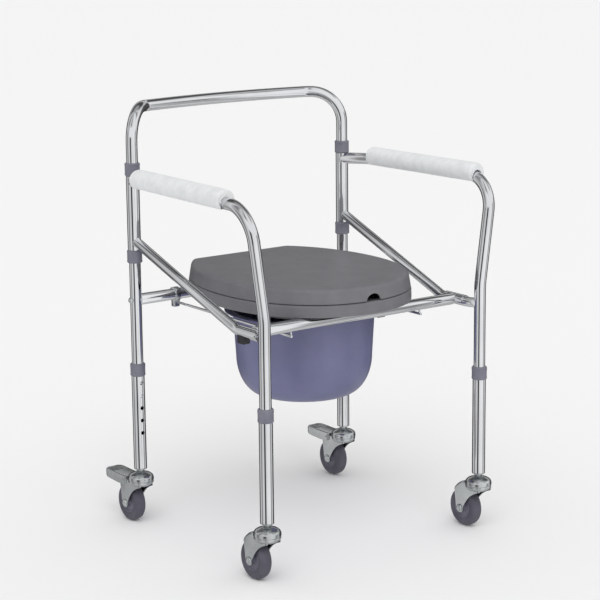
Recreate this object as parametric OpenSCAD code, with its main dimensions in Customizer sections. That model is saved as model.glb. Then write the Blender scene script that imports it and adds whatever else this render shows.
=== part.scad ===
// Folding commode chair on castors: chromed tube frame, lift-up seat frame with a
// plastic seat ring and hinged lid, sliding pail, padded arms and adjustable legs.
// Millimetres. +Z is up, the front faces -Y, and the floor is z = 0.

/* [Frame] */
// Distance between the left and right leg centres
frame_width = 500; // [498:1:504]
// Distance between the front and rear leg centres
frame_depth = 430; // [426:1:434]
// Outside diameter of the main tubes
tube_d = 22.2; // [22:0.1:22.4]
// Wall of the main tubes
tube_wall = 1.2; // [1:0.1:1.5]
// Height of the front and rear seat bars above the floor
seat_bar_z = 451; // [450:1:453]
// Height of the back rest's top bar
hoop_z = 817; // [812:1:825]
// Height of the arm tubes
arm_z = 686; // [685:1:688]
// How far each arm leans outward at its front
arm_flare = 28; // [27:1:30]

/* [Seat] */
// Width of the seat ring
ring_w = 380; // [370:1:384]
// Height of the seat ring's rim
ring_h = 23; // [22:1:24]
// Width of the lid
lid_w = 376; // [360:1:378]
// Height of the lid's rim
lid_h = 29; // [26:1:30]
// Wall of the moulded seat parts
shell = 3.6; // [3:0.2:4]
// Radius of the pail's mouth
pail_r = 137; // [130:1:138]
// Depth of the pail
pail_depth = 166; // [160:1:170]

/* [Legs and castors] */
// Outside diameter of the adjustable leg extensions
extension_d = 25.4; // [25.4:0.1:26]
// Distance between the height adjustment holes
hole_pitch = 25; // [24:1:25]
// Number of height adjustment holes
hole_count = 5; // [4:1:5]
// Wheel radius
wheel_r = 37.5; // [36:0.5:38]
// Wheel width
wheel_w = 24; // [22:1:24]
// Distance from the castor's stem to its axle
castor_trail = 36; // [34:1:37]

/* [Hidden] */
$fn = 64;
side_x = frame_width / 2;
box_offset = 41;                         // from mid-frame to the middle of the whole box
rear_y = frame_depth / 2 - box_offset;
front_y = -frame_depth / 2 - box_offset;
fit = 0.1;                               // radial running clearance of a tube in a tube
elbow_extra = 0.08;                      // how much fatter an elbow is than its straights
elbow_overlap = 0.8;                     // how far a straight runs into an elbow
long_bend = 400;                         // bend radius that needs finer steps along its arc

extension_z = 116;                       // underside of the leg extensions
extension_top = 322;
inner_end = 252;                         // lower end of the tubes inside the extensions
button_z = 288;
button_d = 7.2;
button_tip = tube_d / 2 - 0.35;          // the button's tip stands just inside the extension
collar_d = 29.4;
collar_h = 25;

sleeve_low = 549;
sleeve_high = 692;
sleeve_bore = tube_d + 2 * fit;

brace_d = 19;
brace_x = side_x - 10;
brace_z = seat_bar_z - 2;
brace_top_z = 568;
brace_bend_y = rear_y - 333;
front_bar_y = rear_y - 371;
saddle_gap = 0.4;
saddle_wall = 1.8;
saddle_r = brace_d / 2 + saddle_gap + saddle_wall;
saddle_length = 56;

ring_gap = 0.4;                          // between the bars and the ring's underside
ring_z = seat_bar_z + tube_d / 2 + ring_gap;
lid_z = ring_z + ring_h + 1;
seat_mid_y = rear_y - 195;               // widest line of the seat
seat_rear_y = rear_y + 13;               // straight rear edge of the seat
seat_front = 228;                        // from the widest line to the front
seat_rear = 262;                         // rear half-axis, cut off by the straight edge
opening_half = [104, 128];
opening_y = rear_y - 222;
skirt_half = [130, 133];                 // skirt under the ring, over the pail's mouth
lid_pin_y = seat_rear_y + 4.5;
lid_pin_z = lid_z - 0.5;
lid_pin_d = 5;
lug_r = 4.3;
lug_x = 78;                              // middle of each lid hinge
clip_x = 60;                             // middle of each hook on the front bar

rail_x = 151;
rail_d = 6;
rail_z = seat_bar_z - 19;
rail_front = front_bar_y - 4;
rail_rear = rear_y + 11;
hanger_low = 154;
hanger_w = 12;
pail_y = rear_y - 205;
pail_rim_r = 152.5;
pail_rim_z = rail_z + rail_d / 2 + 0.3;
pail_rim_h = 2.7;

axle_d = 8;
stem_d = 11;
fork_gap = 14;                           // from the wheel's middle to each fork plate
fork_plate = 2.5;
housing_r = 24;
housing_z = 84;
pedal_pivot = [38, 84];                  // y and z of the brake pedal's pin

chrome = [0.80, 0.81, 0.83];
zinc = [0.72, 0.74, 0.74];
grey_plastic = [0.44, 0.44, 0.47];
collar_grey = [0.43, 0.43, 0.50];
foam_white = [0.88, 0.89, 0.89];
pail_blue = [0.42, 0.42, 0.60];
rubber_grey = [0.33, 0.31, 0.39];
black = [0.08, 0.08, 0.09];

// --- paths and tubes ---------------------------------------------------------

function unit(v) = v / norm(v);
function bend_angle(a, p, b) = acos(unit(p - a) * unit(b - p));
function reach(a, p, b, r) = r * tan(bend_angle(a, p, b) / 2);

// A straight round rod from one point to another
module rod(a, b, d) {
    v = b - a;
    translate(a)
        rotate([0, acos(v[2] / norm(v)), atan2(v[1], v[0])])
            cylinder(d = d, h = norm(v));
}

// A round elbow that joins the lines a-p and p-b with a bend of radius r
module elbow(a, p, b, r, d) {
    u = unit(p - a);
    v = unit(b - p);
    axis = unit(cross(u, v));
    start = p - u * reach(a, p, b, r);
    centre = start + cross(axis, u) * r;
    x = unit(start - centre);
    y = cross(axis, x);
    multmatrix([
        [x[0], y[0], axis[0], centre[0]],
        [x[1], y[1], axis[1], centre[1]],
        [x[2], y[2], axis[2], centre[2]],
        [0, 0, 0, 1]])
        rotate_extrude(angle = bend_angle(a, p, b), $fn = r > long_bend ? 360 : 64)
            translate([r, 0])
                circle(d = d, $fn = 64);
}

// A round bar along points, with one bend radius for each inner point. The elbows are a hair
// fatter than the straights, whose ends run a little way into them.
module bent_bar(points, radii, d) {
    last = len(points) - 1;
    for (i = [0 : last - 1]) {
        a = points[i];
        b = points[i + 1];
        along = unit(b - a);
        from = i == 0 ? a : a + along * (reach(points[i - 1], a, b, radii[i - 1]) - elbow_overlap);
        to = i == last - 1 ? b : b - along * (reach(a, b, points[i + 2], radii[i]) - elbow_overlap);
        rod(from, to, d);
    }
    for (i = [1 : last - 1])
        elbow(points[i - 1], points[i], points[i + 1], radii[i - 1], d + elbow_extra);
}

module bent_tube(points, radii, d, wall) {
    difference() {
        bent_bar(points, radii, d);
        bent_bar(points, radii, d - 2 * wall);
    }
}

// Moves a left-hand shape to the side named by s: -1 is left, 1 is right
module on_side(s) {
    if (s < 0) children();
    else mirror([1, 0, 0]) children();
}

// --- rear hoop, crossbar and side frames ------------------------------------

corner_turn = 38;                        // plan angle of the hoop's upper corners
bow_turn = 10.8;                         // plan angle of the top bar at its ends
corner_run = 74;
corner_point = [-side_x + corner_run * cos(corner_turn), rear_y + corner_run * sin(corner_turn), hoop_z];
bow_point = [0, corner_point[1] - corner_point[0] * tan(bow_turn), hoop_z];

function mirrored(p) = [-p[0], p[1], p[2]];

hoop_left = [[-side_x, rear_y, inner_end], [-side_x, rear_y, hoop_z], corner_point];
hoop_path = concat(hoop_left, [bow_point], [for (i = [2 : -1 : 0]) mirrored(hoop_left[i])]);
hoop_radii = [62, 30, 930, 30, 62];

// Turns a shape that faces the front round to face the rear on the front legs, so that all the
// snap buttons look inward
module inward(y) {
    if (y > 0) children();
    else mirror([0, 1, 0]) children();
}

// The hole in an upper tube that its snap button comes through
module button_hole(x, y) {
    translate([x, y, button_z])
        inward(y)
            rotate([90, 0, 0])
                cylinder(d = button_d + 0.4, h = tube_d);
}

module rear_hoop() {
    color(chrome)
        difference() {
            bent_tube(hoop_path, hoop_radii, tube_d, tube_wall);
            for (x = [-side_x, side_x]) {
                button_hole(x, rear_y);
                translate([x, rear_y, seat_bar_z])
                    rotate([0, 90, 0])
                        cylinder(d = 6.4, h = 2 * tube_d, center = true);
            }
        }
}

module rear_crossbar() {
    color(chrome)
        difference() {
            translate([0, rear_y, seat_bar_z])
                rotate([0, 90, 0])
                    difference() {
                        cylinder(d = tube_d, h = frame_width, center = true);
                        cylinder(d = tube_d - 2 * tube_wall, h = frame_width, center = true);
                    }
            for (x = [-side_x, side_x])
                translate([x, rear_y, seat_bar_z - tube_d])
                    cylinder(d = tube_d, h = 2 * tube_d);
        }
}

// One screw at each end of the crossbar, from outside the upright into a plug in the bar
module crossbar_screws() {
    shank = 40;
    head_x = side_x + tube_d / 2 + 0.2;
    color(zinc)
        for (s = [-1, 1])
            on_side(s)
                translate([-head_x, rear_y, seat_bar_z])
                    rotate([0, 90, 0]) {
                        cylinder(d = 6, h = shank);
                        translate([0, 0, -2])
                            cylinder(d = 11, h = 2);
                        translate([0, 0, -3.2])
                            cylinder(d = 7.5, h = 1.2);
                    }
}

arm_rear = [-side_x, rear_y, arm_z - 5];
arm_knee = [-side_x - 16, rear_y - 80, arm_z];
arm_corner = [-side_x - arm_flare, front_y, arm_z];
leg_knee = [-side_x, front_y, 485];
leg_end = [-side_x, front_y, inner_end];
arm_path = [arm_rear, arm_knee, arm_corner, leg_knee, leg_end];
arm_radii = [90, 62, 150];

module sleeve_cut() {
    translate([-side_x, rear_y, sleeve_low - 20])
        cylinder(d = extension_d, h = sleeve_high - sleeve_low + 40);
}

// Arm rest tube and front leg in one bent length, welded to the sleeve
module arm_tube(s) {
    color(chrome)
        on_side(s)
            difference() {
                bent_tube(arm_path, arm_radii, tube_d, tube_wall);
                sleeve_cut();
                button_hole(-side_x, front_y);
            }
}

// The sleeve turns on the rear upright when the chair is folded
module sleeve(s) {
    color(chrome)
        on_side(s)
            translate([-side_x, rear_y, sleeve_low + 0.2])
                difference() {
                    cylinder(d = extension_d, h = sleeve_high - sleeve_low - 0.4);
                    translate([0, 0, -1])
                        cylinder(d = sleeve_bore, h = sleeve_high - sleeve_low + 2);
                }
}

// Two plastic bushes that keep the sleeve in place on the upright
module sleeve_collars(s) {
    color(collar_grey)
        on_side(s)
            for (z = [sleeve_low - collar_h, sleeve_high])
                translate([-side_x, rear_y, z])
                    collar(sleeve_bore);
}

// A plastic collar with chamfered rims
module collar(bore) {
    chamfer = 2;
    difference() {
        union() {
            cylinder(d1 = collar_d - chamfer, d2 = collar_d, h = chamfer);
            translate([0, 0, chamfer])
                cylinder(d = collar_d, h = collar_h - 2 * chamfer);
            translate([0, 0, collar_h - chamfer])
                cylinder(d1 = collar_d, d2 = collar_d - chamfer, h = chamfer);
        }
        translate([0, 0, -1])
            cylinder(d = bore, h = collar_h + 2);
    }
}

// Diagonal brace from the sleeve, level where the seat frame's saddle rests on it
module brace(s) {
    path = [
        [-side_x, rear_y, brace_top_z],
        [-brace_x, brace_bend_y, brace_z],
        [-brace_x, front_bar_y - 34, brace_z],
        [-side_x, front_y, brace_z]];
    color(chrome)
        on_side(s)
            difference() {
                bent_tube(path, [60, 30], brace_d, tube_wall);
                sleeve_cut();
                translate([-side_x, front_y, brace_z - 30])
                    cylinder(d = tube_d, h = 60);
            }
}

// Rubber block clipped under the left brace behind the saddle
module brace_block() {
    block = [17, 17, 18];
    color(black)
        difference() {
            translate([-brace_x - block[0] / 2, front_bar_y + tube_d / 2 + 1, brace_z - 3 - block[2]])
                cube(block);
            translate([-brace_x, front_bar_y, brace_z])
                rotate([-90, 0, 0])
                    cylinder(d = brace_d, h = 2 * block[1]);
        }
}

// --- arm pads ----------------------------------------------------------------

pad_d = 39.4;
pad_lift = 5;                            // the pads sit high on the tube
pad_drop = 9.5;                          // flat underside of the pads, below the tube's middle

function arm_x(y) =
    y > arm_knee[1]
        ? arm_rear[0] + (arm_knee[0] - arm_rear[0]) * (arm_rear[1] - y) / (arm_rear[1] - arm_knee[1])
        : arm_knee[0] + (arm_corner[0] - arm_knee[0]) * (arm_knee[1] - y) / (arm_knee[1] - arm_corner[1]);

// Soft foam sleeve over the arm tube, open underneath; back is the distance of its rear end
// from the upright
module arm_pad(s, back, length) {
    start_y = rear_y - back;
    end_y = start_y - length;
    knee_z = arm_knee[2] + pad_lift;
    path = start_y > arm_knee[1] + 20
        ? [[arm_x(start_y), start_y, knee_z], [arm_knee[0], arm_knee[1], knee_z], [arm_x(end_y), end_y, knee_z]]
        : [[arm_x(start_y), start_y, knee_z], [arm_x(end_y), end_y, knee_z]];
    color(foam_white)
        on_side(s)
            difference() {
                if (len(path) == 3) bent_bar(path, [90], pad_d);
                else rod(path[0], path[1], pad_d);
                bent_bar(arm_path, arm_radii, tube_d + 0.4);
                translate([-2 * side_x, -frame_depth, arm_z - pad_drop - pad_d])
                    cube([2 * side_x, 2 * frame_depth, pad_d]);
            }
}

// --- adjustable legs ---------------------------------------------------------

module leg_extension(x, y) {
    color(chrome)
        translate([x, y, 0])
            difference() {
                translate([0, 0, extension_z])
                    cylinder(d = extension_d, h = extension_top - extension_z);
                translate([0, 0, extension_z - 1])
                    cylinder(d = tube_d + 2 * fit, h = extension_top - extension_z + 2);
                for (i = [0 : hole_count - 1])
                    translate([0, 0, button_z - i * hole_pitch])
                        inward(y)
                            rotate([90, 0, 0])
                                cylinder(d = button_d + 0.6, h = extension_d);
            }
}

// Plastic cap over the top of a leg extension
module leg_collar(x, y) {
    color(collar_grey)
        translate([x, y, extension_top + 4 - collar_h])
            difference() {
                collar(tube_d + 0.4);
                translate([0, 0, -1])
                    cylinder(d = extension_d + 0.1, h = collar_h - 4 + 1);
            }
}

// Sprung button inside the upper tube, with its leaf
module snap_button(x, y) {
    leaf = [6, 0.8, 38];
    root = 5;
    color(zinc)
        translate([x, y, button_z])
            inward(y) {
                rotate([90, 0, 0]) {
                    translate([0, 0, root])
                        cylinder(d = button_d, h = button_tip - root - 1);
                    translate([0, 0, button_tip - 1])
                        cylinder(d1 = button_d, d2 = button_d - 2, h = 1);
                }
                translate([-leaf[0] / 2, -root, -leaf[0] / 2])
                    cube(leaf);
            }
}

// --- castors -----------------------------------------------------------------

// Plug in the leg, neck and stem that the fork turns on
module castor_stem(x, y) {
    color(zinc)
        translate([x, y, 0]) {
            translate([0, 0, extension_z])
                cylinder(d = tube_d + 2 * fit - 0.1, h = 28);
            translate([0, 0, extension_z - 3])
                cylinder(d = extension_d, h = 3);
            translate([0, 0, 80.6])
                cylinder(d = stem_d, h = extension_z - 80.6);
            translate([0, 0, 78])
                cylinder(d = 17, h = 2.6);
        }
}

// Outline of a fork plate: from the bearing housing back and down to the axle
module fork_outline() {
    polygon([
        [-20, 81], [-10, 77], [6, 67], [17, 54], [castor_trail - 8.5, 40],
        [castor_trail + 9, 39], [castor_trail + 15, 60], [castor_trail + 14, 76],
        [castor_trail + 4, 85], [18, 91], [-20, 91]]);
    translate([castor_trail, wheel_r])
        circle(r = 9);
}

module castor_fork(x, y) {
    bore = stem_d + 0.1;
    color(zinc)
        translate([x, y, 0])
            difference() {
                union() {
                    for (side = [-1, 1])
                        translate([side * (fork_gap + fork_plate / 2) - fork_plate / 2, 0, 0])
                            rotate([90, 0, 90])
                                linear_extrude(fork_plate)
                                    fork_outline();
                    translate([-fork_gap - fork_plate, -20, housing_z - 3])
                        cube([2 * (fork_gap + fork_plate), castor_trail + 26, 3]);
                    bearing_housing();
                }
                translate([0, 0, housing_z - 10])
                    cylinder(d = bore, h = 40);
                translate([0, castor_trail, wheel_r])
                    rotate([0, 90, 0])
                        cylinder(d = axle_d, h = 4 * fork_gap, center = true);
                if (y > 0)
                    translate([0, pedal_pivot[0], pedal_pivot[1]])
                        rotate([0, 90, 0])
                            cylinder(d = 5.1, h = 4 * fork_gap, center = true);
            }
}

// Two pressed rings with a groove between them, under a domed cap
module bearing_housing() {
    translate([0, 0, housing_z])
        rotate_extrude()
            polygon([
                [0, 0], [housing_r - 1, 0], [housing_r, 1], [housing_r, 8], [housing_r - 1.5, 9.5],
                [housing_r - 1.5, 11], [housing_r, 12.5], [housing_r, 19], [housing_r - 3, 22.5],
                [housing_r - 9, 25], [housing_r - 15, 26], [0, 26]]);
}

// Rubber tread with rounded shoulders
module castor_tyre(x, y) {
    half = wheel_w / 2;
    core = 21;
    color(rubber_grey)
        translate([x, y + castor_trail, wheel_r])
            rotate([0, 90, 0])
                rotate_extrude()
                    polygon([
                        [core, -half + 2], [wheel_r - 9, -half], [wheel_r - 5, -half + 0.6],
                        [wheel_r - 1.6, -half + 3.2], [wheel_r, -half + 7], [wheel_r, half - 7],
                        [wheel_r - 1.6, half - 3.2], [wheel_r - 5, half - 0.6], [wheel_r - 9, half],
                        [core, half - 2]]);
}

// Wheel centre with raised bosses that run between the fork plates
module castor_hub(x, y) {
    boss = fork_gap - 0.4;
    web = wheel_w / 2 - 3;
    color(rubber_grey)
        translate([x, y + castor_trail, wheel_r])
            rotate([0, 90, 0])
                rotate_extrude()
                    polygon([
                        [axle_d / 2 + 0.06, -boss], [8, -boss], [9, -web], [21, -web], [21, web],
                        [9, web], [8, boss], [axle_d / 2 + 0.06, boss]]);
}

// Axle bolt with its head and nut outside the fork
module castor_axle(x, y) {
    outside = fork_gap + fork_plate;
    color(zinc)
        translate([x, y + castor_trail, wheel_r])
            rotate([0, 90, 0]) {
                cylinder(d = axle_d, h = 2 * outside + 8, center = true);
                translate([0, 0, outside])
                    cylinder(d = 14, h = 5, $fn = 6);
                translate([0, 0, -outside - 4.5])
                    cylinder(d = 14.5, h = 4.5);
            }
}

// Pressed steel toe pedal over the wheel, turning on a pin through the fork
module brake_pedal(x, y) {
    inner = fork_gap + fork_plate + 0.6;
    plate = 2;
    tip = 106;
    color(zinc)
        translate([x, y, 0]) {
            difference() {
                union() {
                    translate([-inner - plate, 27, 92])
                        cube([2 * (inner + plate), tip - 27, plate]);
                    for (side = [-1, 1])
                        translate([side * (inner + plate / 2) - plate / 2, 0, 0])
                            rotate([90, 0, 90])
                                linear_extrude(plate)
                                    polygon([[29, 77], [56, 74], [96, 76], [tip, 86], [tip, 94], [27, 94], [27, 79]]);
                }
                translate([0, pedal_pivot[0], pedal_pivot[1]])
                    rotate([0, 90, 0])
                        cylinder(d = 4.9, h = 4 * inner, center = true);
            }
            translate([0, pedal_pivot[0], pedal_pivot[1]])
                rotate([0, 90, 0])
                    cylinder(d = 5, h = 2 * (inner + plate) + 3, center = true);
            translate([-8, 52, 77])
                cube([16, 10, 15]);
        }
}

// --- lift-up seat frame ------------------------------------------------------

module front_bar() {
    color(chrome)
        difference() {
            translate([0, front_bar_y, seat_bar_z])
                rotate([0, 90, 0])
                    difference() {
                        cylinder(d = tube_d, h = 2 * brace_x, center = true);
                        cylinder(d = tube_d - 2 * tube_wall, h = 2 * brace_x + 2, center = true);
                    }
            for (x = [-brace_x, brace_x])
                translate([x, front_bar_y + tube_d, brace_z])
                    rotate([90, 0, 0])
                        cylinder(r = saddle_r, h = 2 * tube_d);
        }
}

// Half-round saddles that drop over the braces and lock the folded frame open
module saddles() {
    color(chrome)
        for (s = [-1, 1])
            on_side(s)
                translate([-brace_x, front_bar_y + saddle_length / 2, brace_z])
                    rotate([90, 0, 0])
                        difference() {
                            cylinder(r = saddle_r, h = saddle_length);
                            translate([0, 0, -1])
                                cylinder(r = saddle_r - saddle_wall, h = saddle_length + 2);
                            translate([-2 * saddle_r, -4 * saddle_r, -1])
                                cube([4 * saddle_r, 4 * saddle_r, saddle_length + 2]);
                        }
}

// Wire rail that one side of the pail's rim slides on, with a post up to the front bar
module pail_rail(s) {
    color(chrome)
        on_side(s)
            difference() {
                union() {
                    rod([-rail_x, rail_front, rail_z], [-rail_x, rail_rear, rail_z], rail_d);
                    translate([-rail_x - 3, front_bar_y - 4, rail_z])
                        cube([4, 8, 14]);
                }
                translate([-rail_x - 20, front_bar_y, seat_bar_z])
                    rotate([0, 90, 0])
                        cylinder(d = tube_d, h = 40);
            }
}

// Straps that hang the rails from the rear crossbar and turn on it
module rail_hangers() {
    strap_r = tube_d / 2 + 3;
    color(zinc)
        for (s = [-1, 1])
            on_side(s)
                difference() {
                    union() {
                        translate([-hanger_low - hanger_w, rear_y, seat_bar_z])
                            rotate([0, 90, 0])
                                cylinder(r = strap_r, h = hanger_w);
                        translate([-hanger_low - hanger_w, rear_y - 6, rail_z - 6])
                            cube([hanger_w, 12, 14]);
                    }
                    translate([-hanger_low - hanger_w - 1, rear_y, seat_bar_z])
                        rotate([0, 90, 0])
                            cylinder(d = tube_d + 0.1, h = hanger_w + 2);
                }
}

// Plastic hooks under the seat ring that reach down behind the front bar
module ring_clips() {
    clip_r = tube_d / 2 + 3;
    clip_w = 18;
    color(grey_plastic)
        for (x = [-clip_x, clip_x])
            difference() {
                union() {
                    translate([x - clip_w / 2, front_bar_y, seat_bar_z])
                        rotate([0, 90, 0])
                            cylinder(r = clip_r, h = clip_w);
                    translate([x - clip_w / 2, front_bar_y, seat_bar_z])
                        cube([clip_w, clip_r, ring_z - seat_bar_z]);
                }
                translate([x - clip_w, front_bar_y, seat_bar_z])
                    rotate([0, 90, 0])
                        cylinder(d = tube_d + 0.05, h = 2 * clip_w);
                translate([x - clip_w, front_bar_y - 2 * clip_r, seat_bar_z - 2 * clip_r])
                    cube([2 * clip_w, 2 * clip_r, 4 * clip_r]);
                translate([x - clip_w, front_bar_y - clip_r, ring_z])
                    cube([2 * clip_w, 4 * clip_r, clip_r]);
            }
}

// --- seat ring, lid and pail -------------------------------------------------

seat_points = 72;
front_power = 2.2;                       // fuller than an ellipse towards the front

// Seat outline of half width w, drawn in by inset all round, with a straight rear edge
function seat_outline(w, inset) = [
    for (i = [0 : seat_points - 1])
        let (
            t = 360 * i / seat_points,
            power = sin(t) < 0 ? 2 / front_power : 1,
            long = (sin(t) < 0 ? seat_front : seat_rear) - inset,
            px = (w - inset) * sign(cos(t)) * pow(abs(cos(t)), power),
            py = seat_mid_y + long * sign(sin(t)) * pow(abs(sin(t)), power))
        [px, min(py, seat_rear_y - inset)]];

function oval(half, grow) = [
    for (i = [0 : seat_points - 1])
        let (t = 360 * i / seat_points)
        [(half[0] + grow) * cos(t), opening_y + (half[1] + grow) * sin(t)]];

module plate(points, z, h) {
    translate([0, 0, z])
        linear_extrude(h)
            polygon(points);
}

// Moulded ring, hollow underneath, with a splash guard round its opening
module seat_ring() {
    w = ring_w / 2;
    guard = 18;
    color(grey_plastic)
        difference() {
            union() {
                difference() {
                    plate(seat_outline(w, 0), ring_z, ring_h);
                    plate(seat_outline(w, shell), ring_z - 1, ring_h - shell + 1);
                }
                plate(oval(opening_half, shell), ring_z - guard, ring_h + guard - 1);
                difference() {
                    plate(oval(skirt_half, 0), ring_z - guard, ring_h + guard - 1);
                    plate(oval(skirt_half, -shell), ring_z - guard - 1, ring_h + guard + 1);
                }
                for (x = [-clip_x, clip_x])
                    translate([x - 12, front_bar_y - 14, ring_z])
                        cube([24, 28, ring_h - 2]);
                for (x = [-lug_x, lug_x])
                    for (side = [-1, 1])
                        translate([x + side * 13 - 5, 0, 0])
                            hinge_lug(ring_z + 8, 10);
            }
            plate(oval(opening_half, 0), ring_z - guard - 1, ring_h + guard + 2);
            translate([-frame_width, lid_pin_y, lid_pin_z])
                rotate([0, 90, 0])
                    cylinder(d = lid_pin_d, h = 2 * frame_width);
        }
}

// A knuckle behind the seat's rear edge, reaching down or up to low
module hinge_lug(low, w) {
    translate([0, lid_pin_y, lid_pin_z])
        rotate([0, 90, 0])
            cylinder(r = lug_r, h = w);
    translate([0, seat_rear_y - 1, low])
        cube([w, lid_pin_y - seat_rear_y + 1 + lug_r, lid_pin_z - low]);
}

// Hollow lid with a flat top, a finger notch and two hinge knuckles
module lid() {
    w = lid_w / 2;
    edge = 4;
    notch_y = seat_mid_y - seat_front;
    color(grey_plastic)
        difference() {
            union() {
                difference() {
                    union() {
                        plate(seat_outline(w, 0), lid_z, lid_h - edge);
                        plate(seat_outline(w, 1.2), lid_z, lid_h - 2);
                        plate(seat_outline(w, edge), lid_z, lid_h);
                    }
                    plate(seat_outline(w, shell), lid_z - 1, lid_h - shell + 1);
                }
                for (x = [-lug_x, lug_x])
                    translate([x - 7.5, lid_pin_y, lid_pin_z])
                        rotate([0, 90, 0])
                            cylinder(r = lug_r, h = 15);
                for (x = [-lug_x, lug_x])
                    translate([x - 7.5, seat_rear_y - 1, lid_pin_z])
                        cube([15, lid_pin_y - seat_rear_y + 1 + lug_r - 1, 10]);
            }
            translate([0, notch_y - 10, lid_z])
                rotate([-90, 0, 0])
                    cylinder(r = 10, h = 30);
            translate([-frame_width, lid_pin_y, lid_pin_z])
                rotate([0, 90, 0])
                    cylinder(d = lid_pin_d + 0.1, h = 2 * frame_width);
        }
}

module hinge_pins() {
    color(zinc)
        for (x = [-lug_x, lug_x])
            translate([x - 18, lid_pin_y, lid_pin_z])
                rotate([0, 90, 0])
                    cylinder(d = lid_pin_d, h = 36);
}

// Four soft feet under the lid that rest on the ring
module lid_bumpers() {
    bumper_x = ring_w / 2 - 35;
    color(black)
        for (x = [-bumper_x, bumper_x])
            for (y = [seat_mid_y - 60, seat_mid_y + 90])
                translate([x, y, ring_z + ring_h + 0.1])
                    cylinder(d = 12, h = lid_z + lid_h - shell - ring_z - ring_h - 0.1);
}

// Tapered round pail with a deep rounded base and a flat rim
module pail() {
    wall = 2.6;
    top = pail_rim_z + pail_rim_h;
    base = top - pail_depth;
    color(pail_blue)
        translate([0, pail_y, 0])
            rotate_extrude()
                polygon(concat(
                    [[0, base], [pail_r - 55, base]],
                    pail_wall(base, top, 0),
                    [[pail_r, pail_rim_z], [pail_rim_r, pail_rim_z], [pail_rim_r, top], [pail_r - wall, top]],
                    reversed(pail_wall(base, top, wall)),
                    [[pail_r - 55, base + wall], [0, base + wall]]));
}

// The pail's side: a quarter of an oval at the foot, then a slightly leaning wall
function pail_wall(base, top, inset) = [
    for (t = [10 : 10 : 90])
        let (foot = [pail_r - 55, 55 - inset, 75 - inset])
        [foot[0] + (foot[1] - 6) * sin(t), base + inset + foot[2] * (1 - cos(t))]];

function reversed(list) = [for (i = [len(list) - 1 : -1 : 0]) list[i]];

rear_hoop();
rear_crossbar();
crossbar_screws();
arm_tube(-1);  // arm_tube_left
arm_tube(1);  // arm_tube_right
sleeve(-1);  // sleeve_left
sleeve(1);  // sleeve_right
sleeve_collars(-1);  // sleeve_collars_left
sleeve_collars(1);  // sleeve_collars_right
brace(-1);  // brace_left
brace(1);  // brace_right
brace_block();
arm_pad(-1, 33, 322);  // arm_pad_left
arm_pad(1, 79, 310);  // arm_pad_right
leg_extension(-side_x, front_y);  // leg_extension_fl
leg_extension(side_x, front_y);  // leg_extension_fr
leg_extension(-side_x, rear_y);  // leg_extension_rl
leg_extension(side_x, rear_y);  // leg_extension_rr
leg_collar(-side_x, front_y);  // leg_collar_fl
leg_collar(side_x, front_y);  // leg_collar_fr
leg_collar(-side_x, rear_y);  // leg_collar_rl
leg_collar(side_x, rear_y);  // leg_collar_rr
snap_button(-side_x, front_y);  // snap_button_fl
snap_button(side_x, front_y);  // snap_button_fr
snap_button(-side_x, rear_y);  // snap_button_rl
snap_button(side_x, rear_y);  // snap_button_rr
castor_stem(-side_x, front_y);  // castor_stem_fl
castor_stem(side_x, front_y);  // castor_stem_fr
castor_stem(-side_x, rear_y);  // castor_stem_rl
castor_stem(side_x, rear_y);  // castor_stem_rr
castor_fork(-side_x, front_y);  // castor_fork_fl
castor_fork(side_x, front_y);  // castor_fork_fr
castor_fork(-side_x, rear_y);  // castor_fork_rl
castor_fork(side_x, rear_y);  // castor_fork_rr
castor_tyre(-side_x, front_y);  // castor_tyre_fl
castor_tyre(side_x, front_y);  // castor_tyre_fr
castor_tyre(-side_x, rear_y);  // castor_tyre_rl
castor_tyre(side_x, rear_y);  // castor_tyre_rr
castor_hub(-side_x, front_y);  // castor_hub_fl
castor_hub(side_x, front_y);  // castor_hub_fr
castor_hub(-side_x, rear_y);  // castor_hub_rl
castor_hub(side_x, rear_y);  // castor_hub_rr
castor_axle(-side_x, front_y);  // castor_axle_fl
castor_axle(side_x, front_y);  // castor_axle_fr
castor_axle(-side_x, rear_y);  // castor_axle_rl
castor_axle(side_x, rear_y);  // castor_axle_rr
brake_pedal(-side_x, rear_y);  // brake_pedal_left
brake_pedal(side_x, rear_y);  // brake_pedal_right
front_bar();
saddles();
pail_rail(-1);  // pail_rail_left
pail_rail(1);  // pail_rail_right
rail_hangers();
ring_clips();
seat_ring();
lid();
hinge_pins();
lid_bumpers();
pail();
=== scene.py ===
"""Looks of the commode chair: chromed tube frame, grey seat and lid, blue-grey pail, foam arms, castors."""
import math
import bmesh
import bpy
from mathutils import Matrix, Vector, noise


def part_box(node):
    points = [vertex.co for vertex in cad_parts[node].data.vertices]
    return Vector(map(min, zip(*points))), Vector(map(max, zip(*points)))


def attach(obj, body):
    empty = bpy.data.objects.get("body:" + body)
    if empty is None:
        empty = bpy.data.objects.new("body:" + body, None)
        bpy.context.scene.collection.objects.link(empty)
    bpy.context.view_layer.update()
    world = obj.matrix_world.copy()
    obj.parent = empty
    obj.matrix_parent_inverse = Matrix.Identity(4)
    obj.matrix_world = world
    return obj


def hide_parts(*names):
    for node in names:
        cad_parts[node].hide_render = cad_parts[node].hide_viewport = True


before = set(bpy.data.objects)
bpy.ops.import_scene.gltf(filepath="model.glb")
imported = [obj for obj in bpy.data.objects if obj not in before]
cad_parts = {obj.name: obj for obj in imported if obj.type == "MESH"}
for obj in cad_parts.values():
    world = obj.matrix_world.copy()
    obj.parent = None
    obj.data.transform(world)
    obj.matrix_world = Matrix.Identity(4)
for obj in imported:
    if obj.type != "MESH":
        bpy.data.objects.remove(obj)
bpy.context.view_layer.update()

TAU = 2 * math.pi
MM = 0.001
SIDES = {"left": -1, "right": 1}
LEGS = ("fl", "fr", "rl", "rr")


def box_mid(node):
    low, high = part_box(node)
    return (low + high) / 2


def box_low(node):
    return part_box(node)[0]


def box_high(node):
    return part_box(node)[1]


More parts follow.
